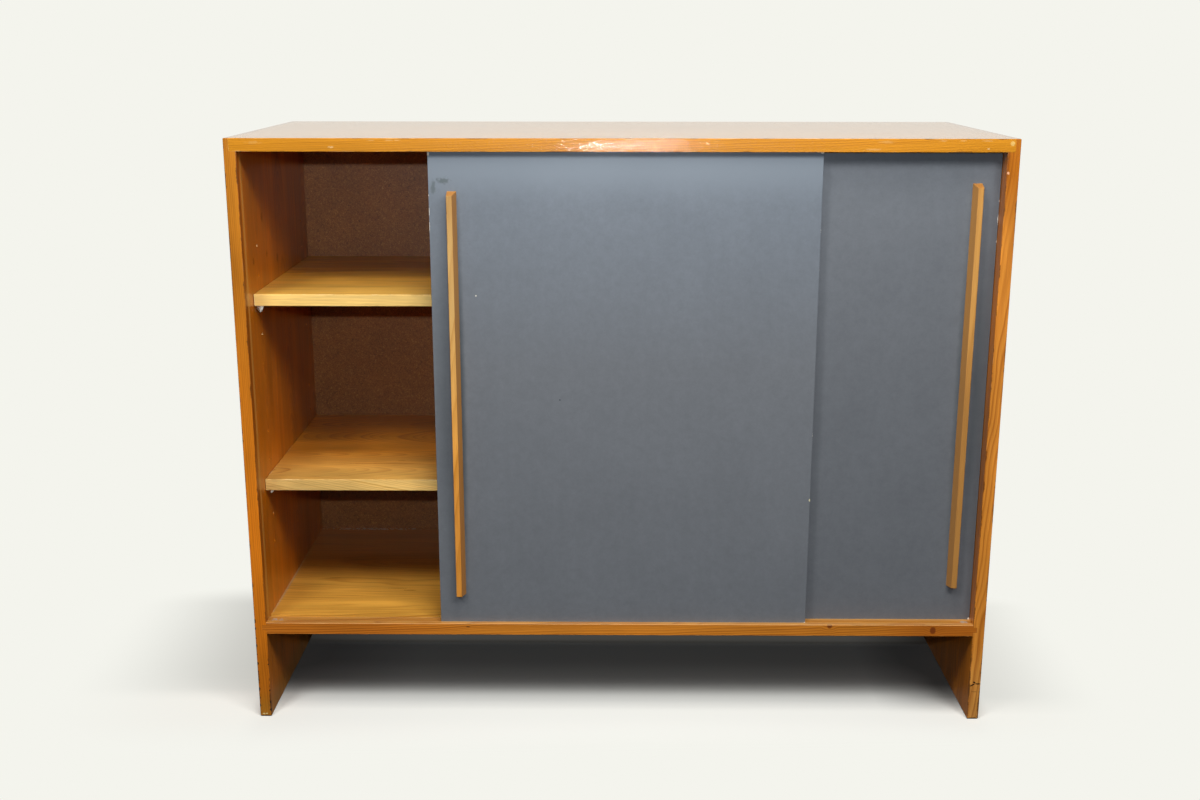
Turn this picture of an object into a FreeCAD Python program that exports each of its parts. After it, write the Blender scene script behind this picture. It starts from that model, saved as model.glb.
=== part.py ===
import FreeCAD, Part
import os

# Sliding door cabinet of lacquered pine boards, in millimetres.
# X runs along the width, Y from the front to the back, Z up.
# The origin is on the floor, under the middle of the cabinet with its handles.

# Carcass boards
cabinet_width = 1200.0
cabinet_depth = 466.0
cabinet_height = 954.0
side_thickness = 19.0
top_thickness = 20.0
bottom_thickness = 20.0
partition_thickness = 19.0
leg_height = 148.5            # floor to the underside of the bottom panel
foot_radius = 3.0             # worn long edges of the legs on the floor
outer_top_radius = 1.6        # long top edges of the sides
arris_radius = 1.0            # other edges that hands and dusters reach

# Joints between the boards
side_lap = 8.0                # outer part of each side that reaches the top surface
tongue_length = 7.0           # tongue of the bottom panel, into each side
tongue_thickness = 8.5
tongue_drop = 4.5             # upper face of the bottom panel to its tongue
housing_depth = 6.0           # housings of the partition in the top and bottom panels
partition_gap = 4.5           # rear door groove to the partition
dowel_diameter = 6.0
dowel_length = 22.0
dowel_clearance = 0.05
dowel_end_gap = 1.0
dowels_per_joint = 4
dowel_end_margin = 60.0       # front or back edge to the nearest dowel

# Back panel
back_thickness = 4.0
rebate_depth = 6.0            # how far the back panel's front face lies from the rear edge
rebate_width = 9.0
back_clearance = 0.5
tack_diameter = 1.4
tack_length = 13.0
tack_head_diameter = 3.4
tack_head_height = 0.6
tack_clearance = 0.05
tacks_per_side = 6
tacks_per_rail = 5
tacks_on_partition = 4
tack_rail_margin = 120.0      # side panel to the nearest tack of a rail

# Door grooves
front_lip = 8.5               # front edge to the front groove
groove_slack = 0.5            # running gap on each face of a door
groove_land = 7.0             # wood left between the two grooves
bottom_groove_depth = 5.0
top_groove_depth = 11.0

# Doors
door_thickness = 8.0
door_overlap = 39.0           # how far the closed doors pass over each other
door_float = 0.3              # running gap under a door
door_top_entry = 5.0          # how far a door reaches into the upper groove
door_side_gap = 0.5           # closed door to the side panel
door_corner_radius = 1.5
door_arris_radius = 0.6
front_door_opening = 287.0    # how far the front door stands open

# Door handles
handle_back_width = 14.5
handle_front_width = 9.0
handle_depth = 13.5
handle_bevel = 5.5            # drop of the upper end towards its front
handle_edge_distance = 28.0   # outer edge of the door to the handle
handle_arris_radius = 0.7
handle_top_margin = 65.2      # upper end of the front handle to the door's upper edge
front_handle_rise = 53.0      # lower edge of the door to the handle
rear_handle_rise = 64.5

# Handle screws
screw_diameter = 3.5
screw_length = 16.0
screw_head_diameter = 7.0
screw_head_height = 2.4
screw_slot_width = 0.9
screw_slot_depth = 1.0
screw_clearance = 0.05
screws_per_handle = 3
screw_end_margin = 40.0       # handle end to the nearest screw

# Shelves and their supports
shelf_thickness = 19.0
shelf_gap = 16.5              # rear door groove to a shelf
shelf_end_gap = 0.7
shelf_back_gap = 0.5
lower_shelf_rise = 212.5      # upper face of the bottom panel to the shelf's underside
upper_shelf_rise = 519.5
peg_diameter = 5.0
peg_clearance = 0.1
peg_end_gap = 1.0             # peg's end to the end of its hole
peg_web = 1.0                 # wood left in the partition between opposite holes
peg_drop = 5.5                # shelf's underside to the peg's axis
support_reach = 9.0           # wall to the support's tip
support_width = 9.0
support_height = 16.0
support_sheet = 1.6
peg_row_front = 90.0          # front edge to the front row of holes
peg_row_back = 54.0           # rear edge to the back row of holes
peg_pitch = 48.0
spare_holes = 2               # holes above and below each support

# Places that the sizes above give
handle_reach = max(handle_depth - front_lip - groove_slack, 0.0)
front_y = (handle_reach - cabinet_depth) / 2
back_y = front_y + cabinet_depth
back_face_y = back_y - rebate_depth
tack_face_y = back_face_y + back_thickness
side_x = cabinet_width / 2
wall_x = side_x - side_thickness
lap_x = side_x - side_lap
bottom_z = leg_height + bottom_thickness
ceiling_z = cabinet_height - top_thickness
tongue_z_range = (bottom_z - tongue_drop - tongue_thickness, bottom_z - tongue_drop)
groove_width = door_thickness + 2 * groove_slack
front_groove_y = front_y + front_lip
rear_groove_y = front_groove_y + groove_width + groove_land
partition_y = rear_groove_y + groove_width + partition_gap
shelf_y = rear_groove_y + groove_width + shelf_gap
door_low_z = bottom_z - bottom_groove_depth + door_float
door_high_z = ceiling_z + door_top_entry
closed_x = wall_x - door_side_gap
door_width = closed_x + door_overlap / 2
handle_length = door_high_z - door_low_z - front_handle_rise - handle_top_margin
partition_x = partition_thickness / 2
peg_rows_y = [front_y + peg_row_front, back_y - peg_row_back]
peg_hole_depth = (partition_thickness - peg_web) / 2
peg_length = peg_hole_depth - peg_end_gap
shelf_rises = {"lower": lower_shelf_rise, "upper": upper_shelf_rise}

# Measures of the drawing itself
same_place = 1e-4             # two places nearer than this are one
arc_middle = 1 - 0.5 ** 0.5   # inset of a quarter circle's middle from its corner, as a share of the radius


def point(x, y, z):
    return FreeCAD.Vector(x, y, z)


def block(x_range, y_range, z_range):
    low = point(x_range[0], y_range[0], z_range[0])
    return Part.makeBox(x_range[1] - x_range[0], y_range[1] - y_range[0], z_range[1] - z_range[0], low)


def spread(first, last, count):
    step = (last - first) / (count - 1)
    return [first + step * index for index in range(count)]


def round_edges(shape, radius, wanted):
    edges = [edge for edge in shape.Edges if wanted(edge.BoundBox)]
    return shape.makeFillet(radius, edges)


def near(value, target):
    return abs(value - target) < same_place


def runs_along_x_at(box, y, z):
    return near(box.YMin, y) and near(box.YMax, y) and near(box.ZMin, z) and near(box.ZMax, z)


def lies_on_front_or_back(box, front, back):
    return near(box.YMin, box.YMax) and (near(box.YMin, front) or near(box.YMin, back))


def drill_all(shape, holes):
    return shape.cut(Part.makeCompound(holes))


def mirrored(shape):
    return shape.mirror(point(0, 0, 0), point(1, 0, 0))


# Door grooves, shared by the top and bottom panels
def door_grooves(z_range):
    return [block((-wall_x, wall_x), (start, start + groove_width), z_range)
            for start in (front_groove_y, rear_groove_y)]


# Partition housing, shared by the top and bottom panels
def partition_housing(z_range):
    return block((-partition_x, partition_x), (partition_y, back_face_y), z_range)


# Dowels in the rebated top corners
def dowel_places(x_sign):
    x = x_sign * (wall_x + lap_x) / 2
    return [point(x, y, ceiling_z - dowel_length / 2)
            for y in spread(front_y + dowel_end_margin, back_y - dowel_end_margin, dowels_per_joint)]


def dowel_holes(x_sign):
    radius = dowel_diameter / 2 + dowel_clearance
    return [Part.makeCylinder(radius, dowel_length + 2 * dowel_end_gap, place - point(0, 0, dowel_end_gap))
            for place in dowel_places(x_sign)]


def make_dowels():
    places = dowel_places(-1) + dowel_places(1)
    return Part.makeCompound([Part.makeCylinder(dowel_diameter / 2, dowel_length, place) for place in places])


# Tacks through the back panel into the rear edges
def tack_places():
    side_line = wall_x + rebate_width / 2
    top_line = ceiling_z + rebate_width / 2
    bottom_line = leg_height + bottom_thickness / 2
    rail_end = wall_x - tack_rail_margin
    places = []
    for z in spread(bottom_line, top_line, tacks_per_side):
        places += [(-side_line, z), (side_line, z)]
    for x in spread(-rail_end, rail_end, tacks_per_rail):
        places += [(x, bottom_line), (x, top_line)]
    partition_heights = spread(bottom_z, ceiling_z, tacks_on_partition + 2)[1:-1]
    places += [(0.0, z) for z in partition_heights]
    return places


def make_tack(x, z):
    place = point(x, tack_face_y, z)
    shank = Part.makeCylinder(tack_diameter / 2, tack_length, place, point(0, -1, 0))
    head = Part.makeCylinder(tack_head_diameter / 2, tack_head_height, place, point(0, 1, 0))
    return shank.fuse(head).removeSplitter()


def make_tacks():
    return Part.makeCompound([make_tack(x, z) for x, z in tack_places()])


def tack_holes(wanted):
    radius = tack_diameter / 2 + tack_clearance
    inwards = point(0, -1, 0)
    depth = tack_length + tack_clearance
    return [Part.makeCylinder(radius, depth, point(x, tack_face_y, z), inwards)
            for x, z in tack_places() if wanted(x, z)]


# Holes for the shelf supports, drilled from a wall that faces along x_sign
def peg_heights(rise):
    middle = bottom_z + rise - peg_drop
    return [middle + peg_pitch * step for step in range(-spare_holes, spare_holes + 1)]


def peg_holes(face_x, x_sign):
    radius = peg_diameter / 2 + peg_clearance
    inwards = point(-x_sign, 0, 0)
    return [Part.makeCylinder(radius, peg_hole_depth, point(face_x, y, z), inwards)
            for rise in shelf_rises.values() for z in peg_heights(rise) for y in peg_rows_y]


# Side panel, drawn from the front and run back through the depth
def side_outline():
    foot = foot_radius
    foot_bend = foot_radius * arc_middle
    cap = outer_top_radius
    cap_bend = outer_top_radius * arc_middle
    high = cabinet_height

    def at(x, z):
        return point(x, front_y, z)

    edges = [
        Part.LineSegment(at(-side_x, foot), at(-side_x, high - cap)),
        Part.Arc(at(-side_x, high - cap), at(cap_bend - side_x, high - cap_bend), at(cap - side_x, high)),
        Part.LineSegment(at(cap - side_x, high), at(-lap_x, high)),
        Part.LineSegment(at(-lap_x, high), at(-lap_x, ceiling_z)),
        Part.LineSegment(at(-lap_x, ceiling_z), at(-wall_x, ceiling_z)),
        Part.LineSegment(at(-wall_x, ceiling_z), at(-wall_x, foot)),
        Part.Arc(at(-wall_x, foot), at(-wall_x - foot_bend, foot_bend), at(-wall_x - foot, 0)),
        Part.LineSegment(at(-wall_x - foot, 0), at(foot - side_x, 0)),
        Part.Arc(at(foot - side_x, 0), at(foot_bend - side_x, foot_bend), at(-side_x, foot)),
    ]
    return Part.Wire([edge.toShape() for edge in edges])


def make_left_side():
    board = Part.Face(side_outline()).extrude(point(0, cabinet_depth, 0))

    def is_worn(box):
        in_lap_joint = box.XMax > -lap_x - same_place and box.ZMin > ceiling_z - same_place
        return lies_on_front_or_back(box, front_y, back_y) and not in_lap_joint

    board = round_edges(board, arris_radius, is_worn)
    rebate_z_range = (leg_height, ceiling_z + rebate_width)
    cuts = [
        block((-wall_x - tongue_length, -wall_x), (front_y, back_face_y), tongue_z_range),
        block((-wall_x - rebate_width, -wall_x), (back_face_y, back_y), rebate_z_range),
    ]
    cuts += peg_holes(-wall_x, 1)
    cuts += dowel_holes(-1)
    cuts += tack_holes(lambda x, z: x < -wall_x and z < ceiling_z)
    return drill_all(board, cuts)


def make_top():
    board = block((-lap_x, lap_x), (front_y, back_y), (ceiling_z, cabinet_height))

    def is_worn(box):
        return any(runs_along_x_at(box, y, cabinet_height) for y in (front_y, back_y))

    board = round_edges(board, arris_radius, is_worn)
    cuts = door_grooves((ceiling_z, ceiling_z + top_groove_depth))
    cuts.append(partition_housing((ceiling_z, ceiling_z + housing_depth)))
    cuts.append(block((-lap_x, lap_x), (back_face_y, back_y), (ceiling_z, ceiling_z + rebate_width)))
    cuts += dowel_holes(-1) + dowel_holes(1)
    cuts += tack_holes(lambda x, z: z > ceiling_z)
    return drill_all(board, cuts)


def make_bottom():
    board = block((-wall_x, wall_x), (front_y, back_face_y), (leg_height, bottom_z))

    def is_worn(box):
        return any(runs_along_x_at(box, front_y, z) for z in (leg_height, bottom_z))

    board = round_edges(board, arris_radius, is_worn)
    reach = wall_x + tongue_length
    tongue = block((-reach, reach), (front_y, back_face_y), tongue_z_range)
    board = board.fuse(tongue).removeSplitter()
    cuts = door_grooves((bottom_z - bottom_groove_depth, bottom_z))
    cuts.append(partition_housing((bottom_z - housing_depth, bottom_z)))
    cuts += tack_holes(lambda x, z: z < bottom_z)
    return drill_all(board, cuts)


def make_partition():
    z_range = (bottom_z - housing_depth, ceiling_z + housing_depth)
    board = block((-partition_x, partition_x), (partition_y, back_face_y), z_range)

    def is_front_arris(box):
        return near(box.YMax, partition_y) and near(box.XMin, box.XMax)

    board = round_edges(board, arris_radius, is_front_arris)
    cuts = peg_holes(-partition_x, -1) + peg_holes(partition_x, 1)
    cuts += tack_holes(lambda x, z: near(x, 0.0))
    return drill_all(board, cuts)


def make_back():
    half = wall_x + rebate_width - back_clearance
    z_range = (leg_height + back_clearance, ceiling_z + rebate_width - back_clearance)
    sheet = block((-half, half), (back_face_y, back_face_y + back_thickness), z_range)
    return drill_all(sheet, tack_holes(lambda x, z: True))


# A shelf of the left bay, and its four supports
def make_left_shelf(rise):
    x_range = (-wall_x + shelf_end_gap, -partition_x - shelf_end_gap)
    z_range = (bottom_z + rise, bottom_z + rise + shelf_thickness)
    board = block(x_range, (shelf_y, back_face_y - shelf_back_gap), z_range)

    def is_front_arris(box):
        return near(box.YMax, shelf_y) and near(box.ZMin, box.ZMax)

    return round_edges(board, arris_radius, is_front_arris)


# Support that stands out of a wall along +X, with its peg axis at the origin
def support_shape():
    half = support_width / 2
    top = peg_drop
    foot = peg_drop - support_height
    wall_plate = block((0, support_sheet), (-half, half), (foot, top))
    shelf_plate = block((0, support_reach), (-half, half), (top - support_sheet, top))
    web_y = -support_sheet / 2
    corners = [
        point(0, web_y, foot),
        point(support_sheet, web_y, foot),
        point(support_reach, web_y, top),
        point(0, web_y, top),
    ]
    web = Part.Face(Part.makePolygon(corners + corners[:1])).extrude(point(0, support_sheet, 0))
    peg_end = point(-peg_length, 0, 0)
    peg = Part.makeCylinder(peg_diameter / 2, peg_length + support_sheet, peg_end, point(1, 0, 0))
    return wall_plate.multiFuse([shelf_plate, web, peg]).removeSplitter()


def make_left_supports(rise):
    supports = []
    for y in peg_rows_y:
        on_side = support_shape()
        on_partition = mirrored(support_shape())
        height = bottom_z + rise - peg_drop
        on_side.translate(point(-wall_x, y, height))
        on_partition.translate(point(-partition_x, y, height))
        supports += [on_side, on_partition]
    return Part.makeCompound(supports)


# Doors, their handles and screws. The outer edge is the one beside the handle,
# and inwards is the X direction from that edge to the middle of the door.
def screw_heights(handle_low):
    lowest = handle_low + screw_end_margin
    highest = handle_low + handle_length - screw_end_margin
    return spread(lowest, highest, screws_per_handle)


def handle_middle(outer_x, inwards):
    return outer_x + inwards * (handle_edge_distance + handle_front_width / 2)


def screw_shape(x, back_face, z, clearance):
    place = point(x, back_face, z)
    forwards = point(0, -1, 0)
    radius = screw_diameter / 2 + clearance
    head_radius = screw_head_diameter / 2 + clearance
    shank = Part.makeCylinder(radius, screw_length + clearance, place, forwards)
    head = Part.makeCone(head_radius, radius, screw_head_height, place, forwards)
    return shank.fuse(head).removeSplitter()


def make_screws(outer_x, inwards, front_face, handle_low):
    x = handle_middle(outer_x, inwards)
    back_face = front_face + door_thickness
    radius = screw_head_diameter / 2
    screws = []
    for z in screw_heights(handle_low):
        slot = block((x - radius, x + radius), (back_face - screw_slot_depth, back_face),
                     (z - screw_slot_width / 2, z + screw_slot_width / 2))
        screws.append(screw_shape(x, back_face, z, 0.0).cut(slot))
    return Part.makeCompound(screws)


def screw_holes(outer_x, inwards, front_face, handle_low):
    x = handle_middle(outer_x, inwards)
    back_face = front_face + door_thickness
    return [screw_shape(x, back_face, z, screw_clearance) for z in screw_heights(handle_low)]


def make_door(outer_x, inwards, front_face, handle_low):
    x_range = sorted((outer_x, outer_x + inwards * door_width))
    back_face = front_face + door_thickness
    sheet = block(x_range, (front_face, back_face), (door_low_z, door_high_z))

    def is_corner(box):
        return near(box.XMin, box.XMax) and near(box.ZMin, box.ZMax)

    def is_rim(box):
        return lies_on_front_or_back(box, front_face, back_face)

    sheet = round_edges(sheet, door_corner_radius, is_corner)
    sheet = round_edges(sheet, door_arris_radius, is_rim)
    return drill_all(sheet, screw_holes(outer_x, inwards, front_face, handle_low))


def make_handle(outer_x, inwards, front_face, handle_low):
    outer_face = outer_x + inwards * handle_edge_distance
    tip = front_face - handle_depth
    handle_high = handle_low + handle_length
    corners = [
        point(outer_face, front_face, handle_low),
        point(outer_face + inwards * handle_back_width, front_face, handle_low),
        point(outer_face + inwards * handle_front_width, tip, handle_low),
        point(outer_face, tip, handle_low),
    ]
    bar = Part.Face(Part.makePolygon(corners + corners[:1])).extrude(point(0, 0, handle_length))
    bevel_corners = [
        point(0, front_face, handle_high),
        point(0, tip, handle_high - handle_bevel),
        point(0, tip, handle_high),
    ]
    bevel = Part.Face(Part.makePolygon(bevel_corners + bevel_corners[:1]))
    bevel.translate(point(min(outer_face, outer_face + inwards * handle_back_width), 0, 0))
    bar = bar.cut(bevel.extrude(point(handle_back_width, 0, 0)))
    bar = round_edges(bar, handle_arris_radius, lambda box: box.YMin < front_face - same_place)
    return drill_all(bar, screw_holes(outer_x, inwards, front_face, handle_low))


def door_assembly(outer_x, inwards, groove_y, handle_rise):
    place = (outer_x, inwards, groove_y + groove_slack, door_low_z + handle_rise)
    return make_door(*place), make_handle(*place), make_screws(*place)


def make_parts():
    parts = {}
    parts["left_side_panel"] = make_left_side()
    parts["right_side_panel"] = mirrored(parts["left_side_panel"])
    parts["top_panel"] = make_top()
    parts["bottom_panel"] = make_bottom()
    parts["centre_partition"] = make_partition()
    parts["back_panel"] = make_back()
    parts["back_panel_tacks"] = make_tacks()
    parts["top_joint_dowels"] = make_dowels()
    for level, rise in shelf_rises.items():
        shelf = make_left_shelf(rise)
        supports = make_left_supports(rise)
        parts[f"{level}_left_shelf"] = shelf
        parts[f"{level}_right_shelf"] = mirrored(shelf)
        parts[f"{level}_left_shelf_supports"] = supports
        parts[f"{level}_right_shelf_supports"] = mirrored(supports)
    doors = {
        "front": door_assembly(front_door_opening - closed_x, 1, front_groove_y, front_handle_rise),
        "rear": door_assembly(closed_x, -1, rear_groove_y, rear_handle_rise),
    }
    for name, (door, handle, screws) in doors.items():
        parts[f"{name}_door"] = door
        parts[f"{name}_door_handle"] = handle
        parts[f"{name}_handle_screws"] = screws
    return parts


os.makedirs("parts", exist_ok=True)
for node, shape in make_parts().items():
    shape.exportStep(f"parts/{node}.step")
    print(node, len(shape.Solids), "solids", round(shape.Volume / 1000, 1), "cm3", "valid", shape.isValid())
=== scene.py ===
import functools
import math

import bpy
from mathutils import Euler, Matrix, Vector


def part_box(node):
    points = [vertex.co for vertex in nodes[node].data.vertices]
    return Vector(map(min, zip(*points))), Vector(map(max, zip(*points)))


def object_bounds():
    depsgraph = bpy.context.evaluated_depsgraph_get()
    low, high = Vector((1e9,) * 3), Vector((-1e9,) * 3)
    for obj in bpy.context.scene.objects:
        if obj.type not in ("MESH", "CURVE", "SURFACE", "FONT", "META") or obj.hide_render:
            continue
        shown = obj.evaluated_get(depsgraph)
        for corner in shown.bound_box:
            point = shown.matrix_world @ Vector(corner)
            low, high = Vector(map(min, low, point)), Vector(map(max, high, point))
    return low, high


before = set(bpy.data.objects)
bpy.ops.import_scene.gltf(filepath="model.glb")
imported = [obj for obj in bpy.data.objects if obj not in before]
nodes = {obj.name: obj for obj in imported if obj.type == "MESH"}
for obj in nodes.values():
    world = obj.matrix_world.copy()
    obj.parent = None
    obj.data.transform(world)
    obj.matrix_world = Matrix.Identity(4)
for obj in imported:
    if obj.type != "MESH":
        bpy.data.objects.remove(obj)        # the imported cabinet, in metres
cadBox = [list(corner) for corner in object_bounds()]
print("cabinet loaded:", len(nodes), "pieces")

mm = 0.001               # the frame is in metres, finishes are given in millimetres
noiseSpan = {"From Min": 0.3, "From Max": 0.7}       # nearly all of a noise lies between these


# colours are written as sRGB hex
def linear(hexColour):
    channels = [int(hexColour[i:i + 2], 16) / 255 for i in (0, 2, 4)]
    flat = [c / 12.92 if c <= 0.04045 else ((c + 0.055) / 1.055) ** 2.4 for c in channels]
    return (*flat, 1.0)


# the scale that draws a pattern at these sizes in millimetres
def scaleFor(sizes):
    return [1 / (size * mm) for size in sizes]


# the range that turns a noise into a tone, this much above and below one
def toneSpan(depth):
    return {**noiseSpan, "To Min": 1 - depth, "To Max": 1 + depth}


# adds one node, sets or links its inputs, and gives back its first output
def addNode(tree, kind, inputs=None, **settings):
    node = tree.nodes.new("ShaderNode" + kind)
    for name, value in settings.items():
        setattr(node, name, value)
    for socket, value in (inputs or {}).items():
        if isinstance(value, bpy.types.NodeSocket):
            tree.links.new(value, node.inputs[socket])
        else:
            node.inputs[socket].default_value = value
    return next((out for out in node.outputs if out.enabled), None)


def startMaterial(name):
    material = bpy.data.materials.new(name)
    material.use_nodes = True
    material.node_tree.nodes.clear()
    add = functools.partial(addNode, material.node_tree)
    return material, add, add("TexCoord").node.outputs["Object"]


def fillRamp(rampOutput, stops):
    elements = rampOutput.node.color_ramp.elements
    elements[0].position = stops[0][0]
    elements[1].position = stops[-1][0]
    for stop in stops[1:-1]:
        elements.new(stop[0])
    for element, stop in zip(elements, stops):
        grey = stop[1]
        element.color = (grey, grey, grey, 1.0)


def paint(material, *names):
    for name in names:
        slots = nodes[name].data.materials
        slots.clear()
        slots.append(material)


# way from a point on a box's face to the nearest edge: the middle one of its distances to the three
# pairs of faces
def edgeDistance(add, place, low, high):
    offset = add("VectorMath", {0: place, 1: (low + high) / 2}, operation="SUBTRACT")
    reach = add("VectorMath", {0: offset}, operation="ABSOLUTE")
    inward = add("VectorMath", {0: (high - low) / 2, 1: reach}, operation="SUBTRACT")
    x, y, z = add("SeparateXYZ", {0: inward}).node.outputs
    lower = add("Math", {0: x, 1: y}, operation="MINIMUM")
    upper = add("Math", {0: x, 1: y}, operation="MAXIMUM")
    inner = add("Math", {0: upper, 1: z}, operation="MINIMUM")
    return add("Math", {0: lower, 1: inner}, operation="MAXIMUM")


# a mark's rim is roughened and blurred by parts of its size; lean is in degrees, above is a height
plainMark = {"ragged": 0.6, "soft": 0.4, "strength": 1.0, "gritPerSize": 0.7}


# lays coloured marks over a finish: each is a ragged ellipsoid at a place on the cabinet
def addMarks(add, place, colour, marks):
    covered = None
    for given in marks:
        mark = {**plainMark, **given}
        away = add("VectorMath", {0: place, 1: mark["at"]}, operation="SUBTRACT")
        if "lean" in mark:
            angle = math.radians(mark["lean"])
            away = add("VectorRotate", {"Vector": away, "Angle": angle}, rotation_type="Y_AXIS")
        size = [millimetres * mm for millimetres in mark["size"]]
        scaled = add("VectorMath", {0: away, 1: size}, operation="DIVIDE")
        distance = add("VectorMath", {0: scaled}, operation="LENGTH").node.outputs["Value"]
        fineness = mark["gritPerSize"] / min(size)
        grit = add("TexNoise", {"Vector": place, "Scale": fineness, "Detail": 2.0})
        ragged = add("Math", {0: grit, 1: mark["ragged"], 2: distance}, operation="MULTIPLY_ADD")
        rim = 1 + mark["ragged"] / 2
        mask = add("MapRange", {"Value": ragged, "From Min": rim, "From Max": rim - mark["soft"],
                                "To Max": mark["strength"]}, interpolation_type="SMOOTHSTEP")
        if "above" in mark:
            height = add("SeparateXYZ", {0: place}).node.outputs["Z"]
            higher = add("Math", {0: height, 1: mark["above"]}, operation="GREATER_THAN")
            mask = add("Math", {0: mask, 1: higher}, operation="MULTIPLY")
        colour = add("MixRGB", {"Fac": mask, "Color1": colour, "Color2": linear(mark["hex"])})
        covered = mask if covered is None else add("Math", {0: covered, 1: mask}, operation="MAXIMUM")
    return colour, covered


# pine and other plain woods, sawn from a log: the rings run round a pith that lies off the board
grainTurn = {"x": Euler((0.0, 0.0, 0.0)), "z": Euler((0.0, math.pi / 2, 0.0))}
knotShape = {"stretch": (1.5, 1.0, 2.0), "reach": 4.0, "push": 1.6, "rim": (1.15, 0.75)}
ringWeather = {"pace": 0.3, "swing": 2.0, "strength": (0.4, 1.0)}        # good years and poor ones
resinSpan = {"From Min": 0.66, "From Max": 0.78}         # only the peaks of a noise
facingSpan = {"From Min": 0.6, "From Max": 0.9}          # faces that look along an axis
slopeSpan = {"From Min": 0.1, "From Max": 0.35}          # faces turned away from the front
wornSpan = {"From Min": 1.0, "From Max": 0.4}            # strips along an edge, inside to outside
footSpan = {"From Min": 0.2, "From Max": 0.02}           # heights down a leg
wearLuck = {"From Min": 0.42, "From Max": 0.72, "To Min": 1.2, "To Max": -0.6}
rubbedPlaces = {"perMetre": 24.0, "offset": (0.0, 0.0, 0.0)}
grimePlaces = {"perMetre": 31.0, "offset": (3.7, 1.9, 5.3)}


# distance to the pith, which lies in another place and at another lean for each glued stave
def pithDistance(add, grainPlace, wood, seed):
    along, across, through = add("SeparateXYZ", {0: grainPlace}).node.outputs
    width = wood["staveWidth"] * mm
    staveStart = add("Math", {0: across, 1: width}, operation="SNAP")
    inStave = add("Math", {0: across, 1: staveStart}, operation="SUBTRACT")
    staveNumber = add("Math", {0: staveStart, 1: seed}, operation="ADD")
    leanLuck, luck = add("TexWhiteNoise", {"W": staveNumber}, noise_dimensions="1D").node.outputs
    sideLuck, depthLuck, toneLuck = add("SeparateColor", {0: luck}).node.outputs
    spread = wood["pithSide"] * mm
    pithSide = add("Math", {0: sideLuck, 1: spread, 2: inStave}, operation="MULTIPLY_ADD")
    middle = add("Math", {0: pithSide, 1: (width + spread) / 2}, operation="SUBTRACT")
    nearest, farthest = (depth * mm for depth in wood["pithDepth"])
    pithDepth = add("Math", {0: depthLuck, 1: farthest - nearest, 2: nearest}, operation="MULTIPLY_ADD")
    depth = add("Math", {0: through, 1: pithDepth}, operation="ADD")
    fromPith = add("CombineXYZ", {0: middle, 1: depth})
    slow = add("Mapping", {"Vector": grainPlace, "Scale": scaleFor(wood["wander"])})
    drift = add("TexNoise", {"Vector": slow, "Scale": 1.0, "Detail": 2.0}).node.outputs["Color"]
    swing = wood["swing"] * mm
    bend = add("VectorMath", {0: drift, 1: (swing, swing, 0.0)}, operation="MULTIPLY")
    bent = add("VectorMath", {0: fromPith, 1: bend}, operation="ADD")
    flat = add("VectorMath", {0: bent, 1: (1.0, 1.0, 0.0)}, operation="MULTIPLY")
    radius = add("VectorMath", {0: flat}, operation="LENGTH").node.outputs["Value"]
    lean = add("MapRange", {"Value": leanLuck, "To Min": -wood["lean"], "To Max": wood["lean"]})
    radius = add("Math", {0: along, 1: lean, 2: radius}, operation="MULTIPLY_ADD")
    return radius, toneLuck


# knots push the rings aside
def addKnots(add, grainPlace, radius, knots):
    knotty = None
    outerRim, innerRim = knotShape["rim"]
    for centre, size in knots:
        away = add("VectorMath", {0: grainPlace, 1: centre}, operation="SUBTRACT")
        stretched = [size * part for part in knotShape["stretch"]]
        scaled = add("VectorMath", {0: away, 1: stretched}, operation="DIVIDE")
        distance = add("VectorMath", {0: scaled}, operation="LENGTH").node.outputs["Value"]
        push = add("MapRange", {"Value": distance, "From Min": knotShape["reach"], "From Max": 0.0,
                                "To Max": size * knotShape["push"]}, interpolation_type="SMOOTHERSTEP")
        radius = add("Math", {0: radius, 1: push}, operation="ADD")
        core = add("MapRange", {"Value": distance, "From Min": outerRim, "From Max": innerRim},
                   interpolation_type="SMOOTHSTEP")
        knotty = core if knotty is None else add("Math", {0: knotty, 1: core}, operation="MAXIMUM")
    return radius, knotty


# pale spring wood and darker autumn wood, year after year
def annualRings(add, radius, wood, seed):
    year = wood["ringWidth"] * mm
    pace = ringWeather["pace"] / year
    yearPlace = add("Math", {0: radius, 1: pace, 2: seed}, operation="MULTIPLY_ADD")
    weather = add("TexNoise", {"W": yearPlace, "Scale": 1.0, "Detail": 1.0}, noise_dimensions="1D")
    early = add("Math", {0: weather, 1: ringWeather["swing"]}, operation="MULTIPLY")
    count = add("Math", {0: radius, 1: 1 / year, 2: early}, operation="MULTIPLY_ADD")
    latewood = add("ValToRGB", {0: add("Math", {0: count}, operation="FRACT")})
    fillRamp(latewood, wood["ringProfile"])
    poor, good = ringWeather["strength"]
    strength = add("MapRange", {"Value": weather, **noiseSpan, "To Min": poor, "To Max": good})
    return add("Math", {0: latewood, 1: strength}, operation="MULTIPLY")


# parts of a board that had more or less light and hands on them
def addZones(add, axes, rings, colour, zones):
    for zone in zones:
        early, late = linear(zone["earlywood"]), linear(zone["latewood"])
        own = add("MixRGB", {"Fac": rings, "Color1": early, "Color2": late})
        inside = add("MapRange", {"Value": axes[zone["axis"]], "From Min": zone["from"],
                                  "From Max": zone["to"]})
        colour = add("MixRGB", {"Fac": inside, "Color1": colour, "Color2": own})
    return colour


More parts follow.
